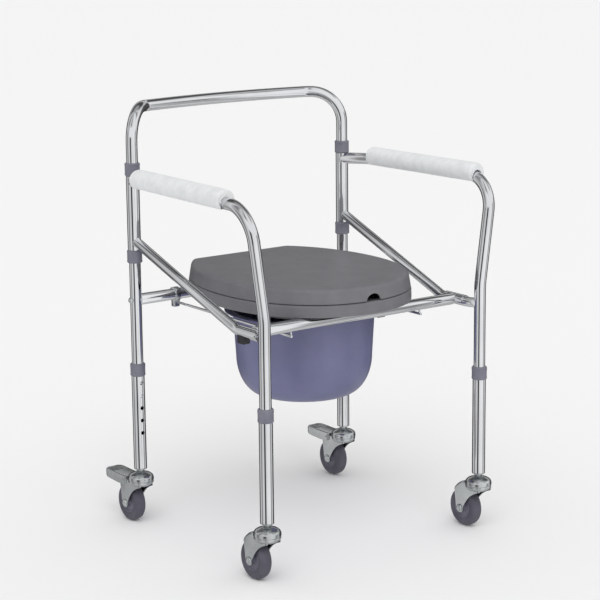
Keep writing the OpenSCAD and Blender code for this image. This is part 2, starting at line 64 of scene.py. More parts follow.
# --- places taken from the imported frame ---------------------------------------

SIDE_X = box_mid("leg_extension_fr").x
REAR_Y = box_mid("leg_extension_rr").y
FRONT_Y = box_mid("leg_extension_fr").y
BAR_Y = box_mid("front_bar").y
BAR_Z = box_mid("rear_crossbar").z
TUBE_R = (box_high("rear_crossbar").z - box_low("rear_crossbar").z) / 2
HOOP_Z = box_high("rear_hoop").z - TUBE_R
ARM_Z = box_high("arm_tube_left").z - TUBE_R
TUBE_END_Z = box_low("rear_hoop").z
BRACE_X = SIDE_X - 10 * MM
BRACE_Z = BAR_Z - 2 * MM
BRACE_R = 9.5 * MM
BRACE_BEND_Y = REAR_Y - 333 * MM
BRACE_TOP_Z = 568 * MM
ARM_FLARE = 28 * MM
RING_LOW = BAR_Z + TUBE_R + 0.4 * MM
RING_HIGH = RING_LOW + 23 * MM
LID_LOW = box_low("lid_bumpers").z + 0.9 * MM
LID_HIGH = box_high("lid").z
SEAT_REAR_Y = REAR_Y + 13 * MM
SEAT_MID_Y = REAR_Y - 195 * MM
SEAT_FRONT = 228 * MM
SEAT_BACK = 262 * MM
PAIL_Y = box_mid("pail").y
OPENING_Y = REAR_Y - 222 * MM
HINGE = box_mid("hinge_pins")
HINGE_XS = (-78, 78)
BUTTON_Z = box_low("snap_button_fl").z + 3.6 * MM
BUTTON_HOLE_R = 3.9
HOLE_PITCH = 25 * MM
HOLE_COUNT = 5


# --- materials ----------------------------------------------------------------

def new_material(name):
    mat = bpy.data.materials.new(name)
    mat.use_nodes = True
    tree = mat.node_tree
    return mat, tree, tree.nodes["Principled BSDF"]


def noise_factor(tree, scale, detail=4.0, roughness=0.55):
    coordinates = tree.nodes.new("ShaderNodeTexCoord")
    texture = tree.nodes.new("ShaderNodeTexNoise")
    texture.inputs["Scale"].default_value = scale
    texture.inputs["Detail"].default_value = detail
    texture.inputs["Roughness"].default_value = roughness
    tree.links.new(coordinates.outputs["Object"], texture.inputs["Vector"])
    return texture.outputs["Fac"]


def map_range(tree, value, low, high, to_low=0.0, to_high=1.0):
    """The value's place between low and high, moved to the span from to_low to to_high."""
    span = tree.nodes.new("ShaderNodeMapRange")
    span.inputs["From Min"].default_value = low
    span.inputs["From Max"].default_value = high
    span.inputs["To Min"].default_value = to_low
    span.inputs["To Max"].default_value = to_high
    tree.links.new(value, span.inputs["Value"])
    return span.outputs["Result"]


def two_colours(tree, factor, dark, light, low, high, socket):
    ramp = tree.nodes.new("ShaderNodeValToRGB")
    ramp.color_ramp.elements[0].position = low
    ramp.color_ramp.elements[0].color = (*dark, 1)
    ramp.color_ramp.elements[1].position = high
    ramp.color_ramp.elements[1].color = (*light, 1)
    tree.links.new(factor, ramp.inputs["Fac"])
    tree.links.new(ramp.outputs["Color"], socket)


def bump(tree, shader, height, strength, distance):
    node = tree.nodes.new("ShaderNodeBump")
    node.inputs["Strength"].default_value = strength
    node.inputs["Distance"].default_value = distance
    tree.links.new(height, node.inputs["Height"])
    tree.links.new(node.outputs["Normal"], shader.inputs["Normal"])


def metal(name, dark, light, rough_low, rough_high, grain, bump_strength):
    mat, tree, shader = new_material(name)
    shader.inputs["Metallic"].default_value = 1.0
    two_colours(tree, noise_factor(tree, 9), dark, light, 0.35, 0.65, shader.inputs["Base Color"])
    fine = noise_factor(tree, grain, 6.0, 0.6)
    tree.links.new(map_range(tree, fine, 0.3, 0.7, rough_low, rough_high), shader.inputs["Roughness"])
    bump(tree, shader, fine, bump_strength, 0.0002)
    return mat


def moulded(name, dark, light, rough_low, rough_high, grain, bump_strength, mottle=30):
    """Moulded plastic or rubber: a slow drift of shade, fine speckle and a spark-eroded grain."""
    mat, tree, shader = new_material(name)
    drift = noise_factor(tree, mottle, 5.0, 0.6)
    two_colours(tree, drift, dark, light, 0.32, 0.68, shader.inputs["Base Color"])
    fine = noise_factor(tree, grain, 3.0, 0.6)
    tree.links.new(map_range(tree, fine, 0.3, 0.7, rough_low, rough_high), shader.inputs["Roughness"])
    bump(tree, shader, fine, bump_strength, 0.0003)
    return mat, shader


CHROME = metal("chrome_plate", (0.70, 0.71, 0.73), (0.80, 0.81, 0.83), 0.04, 0.09, 260, 0.012)
ZINC = metal("bright_zinc", (0.46, 0.48, 0.49), (0.64, 0.66, 0.67), 0.14, 0.27, 420, 0.08)
SEAT, _ = moulded("seat_plastic", (0.152, 0.151, 0.164), (0.174, 0.172, 0.186), 0.36, 0.50, 900, 0.12)
PAIL, PAIL_SHADER = moulded(
    "pail_plastic", (0.142, 0.146, 0.262), (0.184, 0.188, 0.335), 0.30, 0.36, 700, 0.02, mottle=9)
COLLAR, _ = moulded("collar_plastic", (0.150, 0.150, 0.195), (0.205, 0.205, 0.250), 0.34, 0.48, 700, 0.10)
FOAM, FOAM_SHADER = moulded(
    "arm_foam", (0.70, 0.72, 0.73), (0.80, 0.81, 0.82), 0.78, 0.92, 1500, 0.35, mottle=60)
TYRE, _ = moulded("castor_rubber", (0.070, 0.066, 0.090), (0.105, 0.100, 0.130), 0.48, 0.66, 800, 0.15)
HUB, _ = moulded("castor_hub_plastic", (0.12, 0.115, 0.15), (0.17, 0.165, 0.21), 0.40, 0.55, 700, 0.10)
BLACK, _ = moulded("black_rubber", (0.012, 0.012, 0.014), (0.030, 0.030, 0.034), 0.50, 0.70, 800, 0.20)
PAIL_SHADER.inputs["Subsurface Weight"].default_value = 0.12
PAIL_SHADER.inputs["Subsurface Radius"].default_value = (0.006, 0.006, 0.012)
FOAM_SHADER.inputs["Sheen Weight"].default_value = 0.25
FOAM_SHADER.inputs["Subsurface Weight"].default_value = 0.10
FOAM_SHADER.inputs["Subsurface Radius"].default_value = (0.004, 0.004, 0.004)


# --- making pieces --------------------------------------------------------------

def piece(name, verts, faces, mat, body, nodes, sharp=35):
    """A smooth-shaded mesh piece that rides on a body and stands for CAD nodes."""
    mesh = bpy.data.meshes.new(name)
    mesh.from_pydata([tuple(v) for v in verts], [], faces)
    work = bmesh.new()
    work.from_mesh(mesh)
    bmesh.ops.remove_doubles(work, verts=work.verts, dist=1e-7)
    bmesh.ops.recalc_face_normals(work, faces=work.faces)
    work.to_mesh(mesh)
    work.free()
    mesh.polygons.foreach_set("use_smooth", [True] * len(mesh.polygons))
    mesh.set_sharp_from_angle(angle=math.radians(sharp))
    mesh.materials.append(mat)
    obj = bpy.data.objects.new(name, mesh)
    bpy.context.scene.collection.objects.link(obj)
    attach(obj, body)
    if nodes:
        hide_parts(*nodes)
    return obj


class Build:
    """Gathers vertices and faces of one piece from several closed shapes."""

    def __init__(self):
        self.verts = []
        self.faces = []

    def add(self, verts, faces, place=None):
        start = len(self.verts)
        self.verts += [place @ Vector(v) if place else Vector(v) for v in verts]
        self.faces += [[start + i for i in face] for face in faces]
        return self

    def make(self, name, mat, body, *nodes, sharp=35):
        return piece(name, self.verts, self.faces, mat, body, nodes, sharp)


def rings_to_faces(count, size, caps=True, looped=False):
    """Quads between closed rings of points; looped joins the last ring to the first."""
    faces = []
    for ring in range(count if looped else count - 1):
        a, b = ring * size, (ring + 1) % count * size
        for i in range(size):
            j = (i + 1) % size
            faces.append([a + i, a + j, b + j, b + i])
    if caps and not looped:
        faces.append(list(range(size))[::-1])
        faces.append([(count - 1) * size + i for i in range(size)])
    return faces


def bent_line(points, radii, step=2.5, support=1.2 * MM):
    """Centreline of a bent tube: straights joined by arcs, with a support point beside each arc."""
    points = [Vector(p) for p in points]
    line = [points[0]]
    for before, corner, after, radius in zip(points, points[1:], points[2:], radii):
        into = (corner - before).normalized()
        out = (after - corner).normalized()
        turn = into.angle(out)
        reach = radius * math.tan(turn / 2)
        start = corner - into * reach
        axis = into.cross(out).normalized()
        centre = start + axis.cross(into) * radius
        count = max(3, math.ceil(math.degrees(turn) / step))
        line.append(start - into * support)
        for i in range(count + 1):
            line.append(centre + Matrix.Rotation(turn * i / count, 3, axis) @ (start - centre))
        line.append(corner + out * (reach + support))
    line.append(points[-1])
    return line


def frames_along(line):
    """A side vector and an up vector at each point of a line, turning as little as possible."""
    tangents = []
    for i, point in enumerate(line):
        before = line[max(i - 1, 0)]
        after = line[min(i + 1, len(line) - 1)]
        a = (point - before).normalized() if i else Vector()
        b = (after - point).normalized() if i < len(line) - 1 else Vector()
        tangents.append((a + b).normalized())
    upright = abs(tangents[0].z) > 0.95
    up = Vector((0, 1, 0)) if upright else Vector((0, 0, 1))
    side = tangents[0].cross(up).normalized()
    frames = []
    for i, tangent in enumerate(tangents):
        if i:
            turn = tangents[i - 1].rotation_difference(tangent)
            side = turn @ side
        side = (side - tangent * side.dot(tangent)).normalized()
        frames.append((side, side.cross(tangent).normalized()))
    return frames


def circle(radius, sides=40, phase=0.0):
    return [(radius * math.cos(TAU * i / sides + phase), radius * math.sin(TAU * i / sides + phase))
            for i in range(sides)]


def arc(radius, degrees):
    return [(radius * math.cos(a), radius * math.sin(a)) for a in map(math.radians, degrees)]


def in_metres(points):
    return [(a * MM, b * MM) for a, b in points]


def sweep(line, section, scales=None):
    """Runs a closed section along a line: a list of (side, up) pairs, or one such list for each point."""
    verts = []
    for i, (point, (side, up)) in enumerate(zip(line, frames_along(line))):
        ring = section[i] if isinstance(section[0], list) else section
        grow = scales[i] if scales else 1
        verts += [point + side * a * grow + up * b * grow for a, b in ring]
    size = len(section[0]) if isinstance(section[0], list) else len(section)
    return verts, rings_to_faces(len(line), size)


def rod(line, radius, sides=40, edge=0.8 * MM):
    """A round bar with a small rounded edge at both ends."""
    steps = [(0.0, 1 - edge / radius), (0.3, 1 - 0.29 * edge / radius), (1.0, 1.0)]
    first = (line[1] - line[0]).normalized()
    last = (line[-1] - line[-2]).normalized()
    start = [line[0] + first * edge * t for t, _ in steps]
    finish = [line[-1] - last * edge * t for t, _ in reversed(steps)]
    scales = [s for _, s in steps] + [1.0] * (len(line) - 2) + [s for _, s in reversed(steps)]
    return sweep(start + list(line[1:-1]) + finish, circle(radius, sides), scales)


def rounded(points, radius, steps=4, closed=False):
    """Rounds the corners of a flat outline. A point may carry its own radius as a third number."""
    result = []
    count = len(points)
    for i, entry in enumerate(points):
        p = Vector(entry[:2])
        if not closed and i in (0, count - 1):
            result.append(tuple(p))
            continue
        want = entry[2] if len(entry) > 2 else radius
        a = Vector(points[i - 1][:2]) - p
        b = Vector(points[(i + 1) % count][:2]) - p
        cut = min(want, 0.49 * a.length, 0.49 * b.length)
        if cut < 1e-6:
            result.append(tuple(p))
            continue
        start, end = p + a.normalized() * cut, p + b.normalized() * cut
        for k in range(steps + 1):
            t = k / steps
            result.append(tuple(start * (1 - t) ** 2 + p * 2 * t * (1 - t) + end * t * t))
    return result


def lathe(profile, sides=64):
    """Turns (radius, height) pairs about Z. A radius of zero closes the end."""
    verts = []
    faces = []
    rings = []
    for radius, height in profile:
        if radius < 1e-7:
            rings.append([len(verts)])
            verts.append(Vector((0, 0, height)))
        else:
            rings.append(list(range(len(verts), len(verts) + sides)))
            verts += [Vector((x, y, height)) for x, y in circle(radius, sides)]
    for a, b in zip(rings, rings[1:]):
        for i in range(sides):
            j = (i + 1) % sides
            if len(a) == 1 and len(b) > 1:
                faces.append([a[0], b[i], b[j]])
            elif len(b) == 1 and len(a) > 1:
                faces.append([a[j], a[i], b[0]])
            elif len(a) > 1:
                faces.append([a[i], a[j], b[j], b[i]])
    return verts, faces


def hollow_lathe(profile, sides=64):
    """Turns a closed loop of (radius, height) pairs about Z."""
    verts = [Vector((x, y, height)) for radius, height in profile for x, y in circle(radius, sides)]
    return verts, rings_to_faces(len(profile), sides, looped=True)


def turned(outline, radius=0.0, steps=4, sides=64):
    """Turns a line of (radius, height) points in millimetres about Z, with its corners rounded."""
    return lathe(in_metres(rounded(outline, radius, steps)), sides)


def turned_ring(outline, radius=0.0, steps=4, sides=64):
    """Turns a closed loop of (radius, height) points in millimetres about Z, with its corners rounded."""
    return hollow_lathe(in_metres(rounded(outline, radius, steps, True)), sides)


def both_halves(half, middle=()):
    """A whole profile from its upper half: the half turned over, the middle, then the half reversed."""
    return [(p[0], -p[1], *p[2:]) for p in half] + list(middle) + half[::-1]


def cylinder(radius, low, high, edge=0.0, sides=32):
    """A cylinder about Z in millimetres, with rounded rims."""
    return turned([(0, low), (radius, low, edge), (radius, high, edge), (0, high)], sides=sides)


def at(x, y, z):
    return Matrix.Translation((x, y, z))


def along_x(x, y, z, facing=1):
    """Places a turned shape with its axis along X, its height pointing to the facing side."""
    return at(x, y, z) @ Matrix.Rotation(facing * math.pi / 2, 4, "Y")


def along_y(x, y, z, facing=1):
    return at(x, y, z) @ Matrix.Rotation(-facing * math.pi / 2, 4, "X")


def slab(outline, low, high, edge=0.6 * MM):
    """A flat plate between two heights from a closed outline, with rounded edges."""
    count = len(outline)
    normals = []
    for i in range(count):
        tangent = Vector(outline[(i + 1) % count]) - Vector(outline[i - 1])
        normal = Vector((tangent.y, -tangent.x)).normalized()
        normals.append(normal)
    area = sum(outline[i - 1][0] * outline[i][1] - outline[i][0] * outline[i - 1][1] for i in range(count))
    turn = 1 if area > 0 else -1
    verts = []
    levels = [(edge, low), (0.29 * edge, low + 0.29 * edge), (0, low + edge),
              (0, high - edge), (0.29 * edge, high - 0.29 * edge), (edge, high)]
    for inset, height in levels:
        for p, normal in zip(outline, normals):
            q = Vector(p) - normal * turn * inset
            verts.append(Vector((q.x, q.y, height)))
    return verts, rings_to_faces(len(levels), count)


def drill(obj, *cutters):
    """Takes the cutters' shapes out of an object, then removes the cutters."""
    for cutter in cutters:
        cut = obj.modifiers.new("cut", "BOOLEAN")
        cut.operation = "DIFFERENCE"
        cut.solver = "EXACT"
        cut.object = cutter
    bpy.context.view_layer.update()
    result = bpy.data.meshes.new_from_object(obj.evaluated_get(bpy.context.evaluated_depsgraph_get()))
    result.set_sharp_from_angle(angle=math.radians(35))
    obj.modifiers.clear()
    obj.data = result
    for cutter in cutters:
        bpy.data.objects.remove(cutter)
    return result


# Turns the flat (first, second, height) of a slab into (height, first, second): a plate that faces X
FACING_X = Matrix(((0, 0, 1, 0), (1, 0, 0, 0), (0, 1, 0, 0), (0, 0, 0, 1)))
# Turns them into (first, height, second): a plate that faces Y
UPRIGHT = Matrix(((1, 0, 0, 0), (0, 0, 1, 0), (0, 1, 0, 0), (0, 0, 0, 1)))


# --- camera ------------------------------------------------------------------------

def make_camera():
    azimuth, elevation, roll = (math.radians(a) for a in (-36.04, 12.06, -0.585))
    distance = 3.8114
    target = Vector((-1.7 * MM, -21.5 * MM, 449.8 * MM))
    back = Vector((math.sin(azimuth) * math.cos(elevation), -math.cos(azimuth) * math.cos(elevation),
                   math.sin(elevation)))
    right = Vector((math.cos(azimuth), math.sin(azimuth), 0))
    up = back.cross(right)
    x_axis = right * math.cos(roll) + up * math.sin(roll)
    y_axis = up * math.cos(roll) - right * math.sin(roll)
    camera = bpy.data.objects.new("camera", bpy.data.cameras.new("camera"))
    camera.data.lens = 119.17
    camera.data.sensor_width = 36
    camera.data.clip_end = 500
    place = Matrix((x_axis, y_axis, back)).transposed().to_4x4()
    place.translation = target + back * distance
    camera.matrix_world = place
    bpy.context.scene.collection.objects.link(camera)
    bpy.context.scene.camera = camera


make_camera()


# --- rear hoop, crossbar and side frames ----------------------------------------------

def mirrored(points):
    return [Vector((-p[0], p[1], p[2])) for p in points]


def button_pockets(tube, *places):
    """Cuts the hole that a snap button comes through, and the room for its leaf, into an upper tube."""
    room = [(-3.5, -3.5), (3.5, -3.5), (3.5, 35.7), (-3.5, 35.7)]
    cutters = []
    for x, y in places:
        facing = 1 if y < 0 else -1
        name = f"pocket_{len(cutters)}"
        hole = cylinder(BUTTON_HOLE_R, 2, 20)
        cutters.append(Build().add(*hole, along_y(x, y, BUTTON_Z, facing)).make(name, CHROME, "frame"))
        near, far = sorted((facing * 3.6 * MM, facing * 8.0 * MM))
        cutters.append(Build().add(*slab(in_metres(room), near, far, 0.1 * MM),
                                   at(x, y, BUTTON_Z) @ UPRIGHT).make(name + "_leaf", CHROME, "frame"))
    drill(tube, *cutters)


def make_hoop():
    corner_turn, bow_turn, corner_run = math.radians(38), math.radians(10.8), 74 * MM
    corner = Vector((-SIDE_X, REAR_Y, HOOP_Z))
    corner += corner_run * Vector((math.cos(corner_turn), math.sin(corner_turn), 0))
    bow = Vector((0, corner.y - corner.x * math.tan(bow_turn), HOOP_Z))
    left = [Vector((-SIDE_X, REAR_Y, TUBE_END_Z)), Vector((-SIDE_X, REAR_Y, HOOP_Z)), corner]
    path = left + [bow] + mirrored(left)[::-1]
    radii = [r * MM for r in (62, 30, 930, 30, 62)]
    line = bent_line(path, radii)
    stops = [Vector((-SIDE_X, REAR_Y, BUTTON_Z + z * MM)) for z in (-12, 12)]
    line = line[:1] + stops + line[1:-1] + mirrored(stops)[::-1] + line[-1:]
    hoop = Build().add(*rod(line, TUBE_R, 48)).make("back_hoop", CHROME, "frame", "rear_hoop")
    button_pockets(hoop, (-SIDE_X, REAR_Y), (SIDE_X, REAR_Y))
    bar = [Vector((x, REAR_Y, BAR_Z)) for x in (-SIDE_X + 8 * MM, -100 * MM, 100 * MM, SIDE_X - 8 * MM)]
    Build().add(*rod(bar, TUBE_R, 48)).make("rear_bar", CHROME, "frame", "rear_crossbar")
    head = [(0, 4.4), (3.4, 4.2), (5.0, 2.6), (5.6, 0.4), (7.2, 0.0), (7.2, -1.2), (0, -1.2)]
    screws = Build()
    for side in SIDES.values():
        screws.add(*turned(head, 1.2, sides=32), along_x(side * (SIDE_X + TUBE_R), REAR_Y, BAR_Z, side))
    screws.make("bar_screws", ZINC, "frame", "crossbar_screws")


def arm_points(side):
    left = [
        (-SIDE_X, REAR_Y, ARM_Z - 5 * MM),
        (-SIDE_X - 16 * MM, REAR_Y - 80 * MM, ARM_Z),
        (-SIDE_X - ARM_FLARE, FRONT_Y, ARM_Z),
        (-SIDE_X, FRONT_Y, 485 * MM),
        (-SIDE_X, FRONT_Y, TUBE_END_Z)]
    return [Vector((-side * x, y, z)) for x, y, z in left]


def bush(bore, outer, height, lip):
    """Plastic bush in millimetres: rounded rims and a faintly waisted side."""
    waist = outer - 0.35
    loop = [(bore, 0, 0.2), (outer - 1.6, 0, 1.2), (outer, 1.8, 1.4), (outer, lip), (waist, lip + 0.8),
            (waist, height - lip - 0.8), (outer, height - lip), (outer, height - 1.8, 1.4),
            (outer - 1.6, height, 1.2), (bore, height, 0.2)]
    return turned_ring(loop, 0.6)


def make_side(name, side):
    arm = bent_line(arm_points(side), [r * MM for r in (90, 62, 150)])
    arm = arm[:-1] + [Vector((side * SIDE_X, FRONT_Y, BUTTON_Z + z * MM)) for z in (12, -12)] + arm[-1:]
    tube = Build().add(*rod(arm, TUBE_R, 48)).make(f"arm_and_leg_{name}", CHROME, "frame", f"arm_tube_{name}")
    button_pockets(tube, (side * SIDE_X, FRONT_Y))
    low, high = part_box(f"sleeve_{name}")
    wall = [(11.4, 0), (12.7, 0, 0.5), (12.7, 142.6, 0.5), (11.4, 142.6)]
    Build().add(*turned_ring(wall, 0.3, 3), at(side * SIDE_X, REAR_Y, low.z)).make(
        f"hinge_sleeve_{name}", CHROME, "frame", f"sleeve_{name}")
    bushes = Build()
    for z in (box_low(f"sleeve_collars_{name}").z, high.z + 0.2 * MM):
        bushes.add(*bush(11.3, 14.7, 25, 4), at(side * SIDE_X, REAR_Y, z))
    bushes.make(f"sleeve_bushes_{name}", COLLAR, "frame", f"sleeve_collars_{name}")
    brace = [
        (-SIDE_X, REAR_Y, BRACE_TOP_Z),
        (-BRACE_X, BRACE_BEND_Y, BRACE_Z),
        (-BRACE_X, BAR_Y - 34 * MM, BRACE_Z),
        (-SIDE_X, FRONT_Y, BRACE_Z)]
    brace = bent_line([Vector((-side * x, y, z)) for x, y, z in brace], [60 * MM, 30 * MM])
    Build().add(*rod(brace, BRACE_R, 40)).make(f"side_brace_{name}", CHROME, "frame", f"brace_{name}")


def make_brace_block():
    outline = [(-8.5, -3, 2), (-8.5, -21, 2.5), (8.5, -21, 2.5), (8.5, -3, 2)]
    groove = [(8.2 * a, 9.2 * b - 0.3) for a, b in arc(1, range(-35, -146, -10))]
    loop = in_metres(rounded(outline + groove, 0, 4, True))
    place = at(-BRACE_X, box_low("brace_block").y, BRACE_Z) @ UPRIGHT
    Build().add(*slab(loop, 0, 17 * MM, 0.8 * MM), place).make("brace_rubber", BLACK, "frame", "brace_block")


make_hoop()
for side_name, side_sign in SIDES.items():
    make_side(side_name, side_sign)
make_brace_block()


# --- foam arm pads ------------------------------------------------------------------------

PAD_LIFT = 5 * MM
PAD_DROP = 9.5 * MM


def pad_section(outer, bore=11.35 * MM, around=56):
    """Foam section, flat and open underneath: outer skin, rounded lips, then the bore on the tube."""
    points = []
    flat = PAD_DROP + PAD_LIFT
    low = -math.asin(min(flat / outer, 0.999))
    lip = 2.2 * MM
    for i in range(around + 1):
        a = low + (math.pi - 2 * low) * i / around
        points.append((outer * math.cos(a), outer * math.sin(a)))
    edge = outer * math.cos(low)
    mouth = math.sqrt(bore ** 2 - (PAD_DROP - lip) ** 2)
    start = -math.asin((PAD_DROP - lip) / bore)
    points += [(-edge + 1.0 * MM, -flat), (-mouth - lip, -flat), (-mouth - 0.6 * MM, -flat + 0.7 * MM)]
    for i in range(around + 1):
        a = math.pi - start - (math.pi - 2 * start) * i / around
        points.append((bore * math.cos(a), bore * math.sin(a) - PAD_LIFT))
    points += [(mouth + 0.6 * MM, -flat + 0.7 * MM), (mouth + lip, -flat), (edge - 1.0 * MM, -flat)]
    return points


def make_arm_pad(name, side):
    low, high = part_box(f"arm_pad_{name}")
    start_y, end_y = high.y - 0.4 * MM, low.y + 0.4 * MM
    if name == "left":
        # The tube slants here, so one edge of the pad's square end reaches further back
        start_y -= 1.8 * MM
    arm = bent_line(arm_points(side)[:3], [90 * MM])
    length = start_y - end_y
    full = 19.8 * MM
    round_off = 7 * MM
    ends = [round_off * (1 - math.cos(t * math.pi / 16)) for t in range(1, 9)]
    places = [0.0] + ends + [round_off + (length - 2 * round_off) * i / 70 for i in range(1, 70)]
    places += [length - e for e in reversed(ends)] + [length]
    points = []
    rings = []
    for place in places:
        y = start_y - place
        for a, b in zip(arm, arm[1:]):
            if b.y <= y <= a.y:
                points.append(a.lerp(b, (a.y - y) / (a.y - b.y)) + Vector((0, 0, PAD_LIFT)))
                break
        into_end = max(round_off - min(place, length - place), 0)
        drop = round_off - math.sqrt(round_off ** 2 - into_end ** 2)
        shaped = []
        for a, b in pad_section(full - 0.62 * drop):
            if math.hypot(a, b) > 15 * MM:
                where = Vector((a * 20, b * 20, place * 14 + 5 * side))
                dent = 1 + 0.012 * noise.noise(where)
                a, b = a * dent, b * dent
            shaped.append((a, b))
        rings.append(shaped)
    pad = Build().add(*sweep(points, rings))
    pad = pad.make(f"foam_pad_{name}", FOAM, "frame", f"arm_pad_{name}", sharp=60)


for side_name, side_sign in SIDES.items():
    make_arm_pad(side_name, side_sign)


# --- adjustable legs -----------------------------------------------------------------------

def make_leg(leg):
    low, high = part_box(f"leg_extension_{leg}")
    x, y = (low.x + high.x) / 2, (low.y + high.y) / 2
    height = high.z - low.z
    wall = [(11.2, 0), (12.7, 0, 0.4), (12.7, height / MM, 0.4), (11.2, height / MM)]
    tube = Build().add(*turned_ring(wall, 0.3, 3, 96), at(x, y, low.z))
    tube = tube.make(f"leg_tube_{leg}", CHROME, f"leg_{leg}", f"leg_extension_{leg}")
    holes = Build()
    facing = 1 if leg[0] == "f" else -1
    for i in range(HOLE_COUNT):
        holes.add(*cylinder(BUTTON_HOLE_R, -2, 20), along_y(x, y, BUTTON_Z - i * HOLE_PITCH, facing))
    result = drill(tube, holes.make(f"cutter_{leg}", CHROME, f"leg_{leg}"))
    set_round_normals(result, Vector((x, y, 0)))
    loop = [(11.3, 21, 0.3), (11.3, 25, 0.2), (13.1, 25, 1.2), (14.7, 23.2, 1.4), (14.7, 18), (14.35, 17.2),
            (14.35, 5), (14.7, 4), (14.7, 1.8, 1.4), (13.6, 0, 0.6), (12.8, 0, 0.2), (12.8, 21, 0.2)]
    Build().add(*turned_ring(loop, 0.6), at(x, y, box_low(f"leg_collar_{leg}").z)).make(
        f"leg_cap_{leg}", COLLAR, f"leg_{leg}", f"leg_collar_{leg}")
    tip = [(0, 0), (3.6, 0, 0), (3.6, 5.0, 1.4), (2.4, 5.75, 0.8), (0, 5.85)]
    button = Build().add(*turned(tip, sides=32), along_y(x, y + facing * 4.9 * MM, BUTTON_Z, facing))
    leaf = [(-3, -3, 1), (3, -3, 1), (3, 35, 2.8), (-3, 35, 2.8)]
    plate = slab(in_metres(rounded(leaf, 0, 5, True)), 0, 0.8 * MM, 0.2 * MM)
    button.add(*plate, at(x, y + (facing * 4.6 - 0.4) * MM, BUTTON_Z) @ UPRIGHT)
    button.make(f"sprung_button_{leg}", ZINC, f"button_{leg}", f"snap_button_{leg}")


def set_round_normals(mesh, axis_point):
    """Gives a drilled upright tube exact normals, so that reflections stay straight past its holes."""
    normals = []
    for face in mesh.polygons:
        flat = Vector((face.center.x - axis_point.x, face.center.y - axis_point.y, 0)).normalized()
        facing = face.normal.dot(flat)
        for index in face.vertices:
            co = mesh.vertices[index].co
            radial = Vector((co.x - axis_point.x, co.y - axis_point.y, 0)).normalized()
            normals.append(radial if facing > 0.97 else -radial if facing < -0.97 else face.normal.copy())
    mesh.normals_split_custom_set(normals)


for leg_name in LEGS:
    make_leg(leg_name)


# --- castors ------------------------------------------------------------------------------

def along(table, y):
    """Reads a height from a short list of (place, height) pairs, straight between them."""
    for (a, ha), (b, hb) in zip(table, table[1:]):
        if a <= y <= b:
            return ha + (hb - ha) * (y - a) / (b - a)
    return table[0][1] if y < table[0][0] else table[-1][1]


def channel(stations, half_width, top, low, wall, corner, steps=5):
    """Pressed sheet of upside-down U section. Everything is in millimetres, along Y."""
    def u_shape(w, t, b, r):
        shape = [(-w, b), (-w, (b + t - r) / 2), (-w, t - r)]
        shape += [(-w + r - r * math.cos(a), t - r + r * math.sin(a))
                  for a in (math.pi / 2 * k / steps for k in range(1, steps))]
        shape += [(-w + r, t), (0, t)]
        return shape + [(-x, z) for x, z in reversed(shape[:-1])]

    verts = []
    size = 0
    for y in stations:
        w, t, b = half_width(y), top(y), low(y)
        b = min(b, t - corner - 0.2)
        outer = u_shape(w, t, b, corner)
        inner = u_shape(w - wall, t - wall, b, max(corner - wall, 0.3))
        size = len(outer)
        verts += [Vector((x, y, z)) * MM for x, z in outer + inner[::-1]]
    count = len(stations)
    ring = 2 * size
    faces = rings_to_faces(count, ring, caps=False)
    for start in (0, (count - 1) * ring):
        for i in range(size - 1):
            quad = [start + i, start + i + 1, start + ring - 2 - i, start + ring - 1 - i]
            faces.append(quad if start == 0 else quad[::-1])
    return verts, faces


def spaced(first, last, step):
    count = max(1, round((last - first) / step))
    return [first + (last - first) * i / count for i in range(count + 1)]


FORK_EDGE = [(-21, 84), (-19, 80), (-12, 77.5), (-3, 73), (6, 67), (14, 59), (20, 51), (24.5, 44), (26, 39),
             (26.8, 34), (28.5, 31.2), (31, 29.2), (34, 28.2), (37, 28), (40, 28.6), (43, 30.2), (45, 32.6),
             (46.3, 36), (47, 42), (48.5, 52), (50, 62), (51, 70), (51.5, 78)]


def hexagon(across, low, high):
    """A hexagon nut in millimetres, with turned-off corners."""
    corner = across / math.sqrt(3)
    levels = [(corner - 0.9, low), (corner, low + 0.7), (corner, high - 0.9), (corner - 1.0, high)]
    verts = []
    for radius, height in levels:
        verts += [Vector((a * MM, b * MM, height * MM)) for a, b in circle(radius, 6, math.pi / 6)]
    return verts, rings_to_faces(len(levels), 6)


